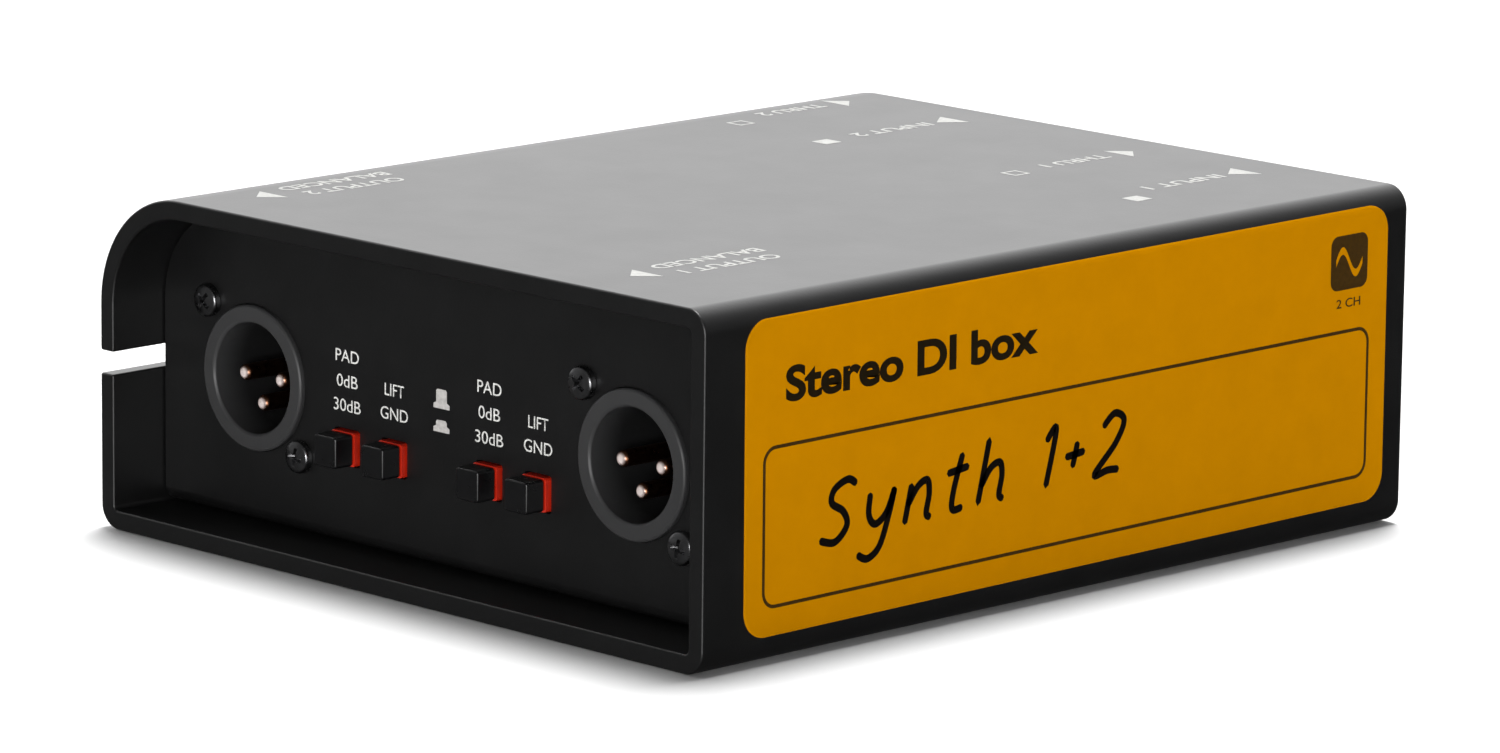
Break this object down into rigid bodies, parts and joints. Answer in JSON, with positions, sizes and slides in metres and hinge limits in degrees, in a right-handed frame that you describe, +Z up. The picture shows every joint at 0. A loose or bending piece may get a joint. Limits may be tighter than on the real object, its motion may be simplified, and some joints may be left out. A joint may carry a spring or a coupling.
{
  "type": "direct injection box",
  "caption": "Passive direct injection box: a wrapped black sleeve with recessed ends, balanced pin outputs and push buttons in front, jack sockets behind, and an amber label on one side.",
  "frame": {"origin": "centre of the footprint, on the surface the box rests on", "axes": "-Y is the front with the balanced outputs and the buttons, +X is the side with the write-on label, +Z is up"},
  "size_m": [0.1246, 0.1422, 0.05],
  "materials": {
    "powder_black": "fine-textured satin powder coat",
    "label_amber": "satin printed polyester film",
    "connector_grey": "matt moulded",
    "plastic_black": "matt moulded",
    "cap_black": "satin moulded",
    "plastic_red": "satin moulded",
    "contact_gold": "gold plated",
    "screw_black": "black oxide",
    "plated_steel": "bright nickel plate",
    "spring_steel": "drawn wire",
    "board_green": "solder mask",
    "core_steel": "stacked laminations",
    "bobbin_amber": "wound and taped"
  },
  "bodies": {
    "box": {"outer_sleeve": "powder_black", "write_on_label": "label_amber", "front_chassis": "powder_black", "rear_chassis": "powder_black", "circuit_board": "board_green", "case_screw_front_left": "screw_black", "case_screw_front_right": "screw_black", "case_screw_rear_left": "screw_black", "case_screw_rear_right": "screw_black", "xlr_shell_ch1": "connector_grey", "xlr_insert_ch1": "plastic_black", "xlr_pin_1_ch1": "contact_gold", "xlr_pin_2_ch1": "contact_gold", "xlr_pin_3_ch1": "contact_gold", "xlr_screw_upper_ch1": "screw_black", "xlr_screw_lower_ch1": "screw_black", "transformer_core_ch1": "core_steel", "transformer_coil_ch1": "bobbin_amber", "pad_switch_body_ch1": "plastic_black", "pad_spring_ch1": "spring_steel", "lift_switch_body_ch1": "plastic_black", "lift_spring_ch1": "spring_steel", "input_jack_body_ch1": "plastic_black", "input_jack_contact_ch1": "contact_gold", "input_jack_washer_ch1": "plated_steel", "input_jack_nut_ch1": "plated_steel", "thru_jack_body_ch1": "plastic_black", "thru_jack_contact_ch1": "contact_gold", "thru_jack_washer_ch1": "plated_steel", "thru_jack_nut_ch1": "plated_steel", "xlr_shell_ch2": "connector_grey", "xlr_insert_ch2": "plastic_black", "xlr_pin_1_ch2": "contact_gold", "xlr_pin_2_ch2": "contact_gold", "xlr_pin_3_ch2": "contact_gold", "xlr_screw_upper_ch2": "screw_black", "xlr_screw_lower_ch2": "screw_black", "transformer_core_ch2": "core_steel", "transformer_coil_ch2": "bobbin_amber", "pad_switch_body_ch2": "plastic_black", "pad_spring_ch2": "spring_steel", "lift_switch_body_ch2": "plastic_black", "lift_spring_ch2": "spring_steel", "input_jack_body_ch2": "plastic_black", "input_jack_contact_ch2": "contact_gold", "input_jack_washer_ch2": "plated_steel", "input_jack_nut_ch2": "plated_steel", "thru_jack_body_ch2": "plastic_black", "thru_jack_contact_ch2": "contact_gold", "thru_jack_washer_ch2": "plated_steel", "thru_jack_nut_ch2": "plated_steel"},
    "pad_button_ch1": {"pad_plunger_ch1": "plastic_red", "pad_button_cap_ch1": "cap_black"},
    "lift_button_ch1": {"lift_plunger_ch1": "plastic_red", "lift_button_cap_ch1": "cap_black"},
    "pad_button_ch2": {"pad_plunger_ch2": "plastic_red", "pad_button_cap_ch2": "cap_black"},
    "lift_button_ch2": {"lift_plunger_ch2": "plastic_red", "lift_button_cap_ch2": "cap_black"}
  },
  "joints": [
    {"name": "pad_button_slide_ch1", "type": "slide", "parent": "box", "child": "pad_button_ch1", "axis": [0, 1, 0], "range_m": [0, 0.0025], "stiffness_N_per_m": 400, "springref_m": -0.001, "deforming": ["pad_spring_ch1"]},
    {"name": "lift_button_slide_ch1", "type": "slide", "parent": "box", "child": "lift_button_ch1", "axis": [0, 1, 0], "range_m": [0, 0.0025], "stiffness_N_per_m": 400, "springref_m": -0.001, "deforming": ["lift_spring_ch1"]},
    {"name": "pad_button_slide_ch2", "type": "slide", "parent": "box", "child": "pad_button_ch2", "axis": [0, 1, 0], "range_m": [0, 0.0025], "stiffness_N_per_m": 400, "springref_m": -0.001, "deforming": ["pad_spring_ch2"]},
    {"name": "lift_button_slide_ch2", "type": "slide", "parent": "box", "child": "lift_button_ch2", "axis": [0, 1, 0], "range_m": [0, 0.0025], "stiffness_N_per_m": 400, "springref_m": -0.001, "deforming": ["lift_spring_ch2"]}
  ]
}
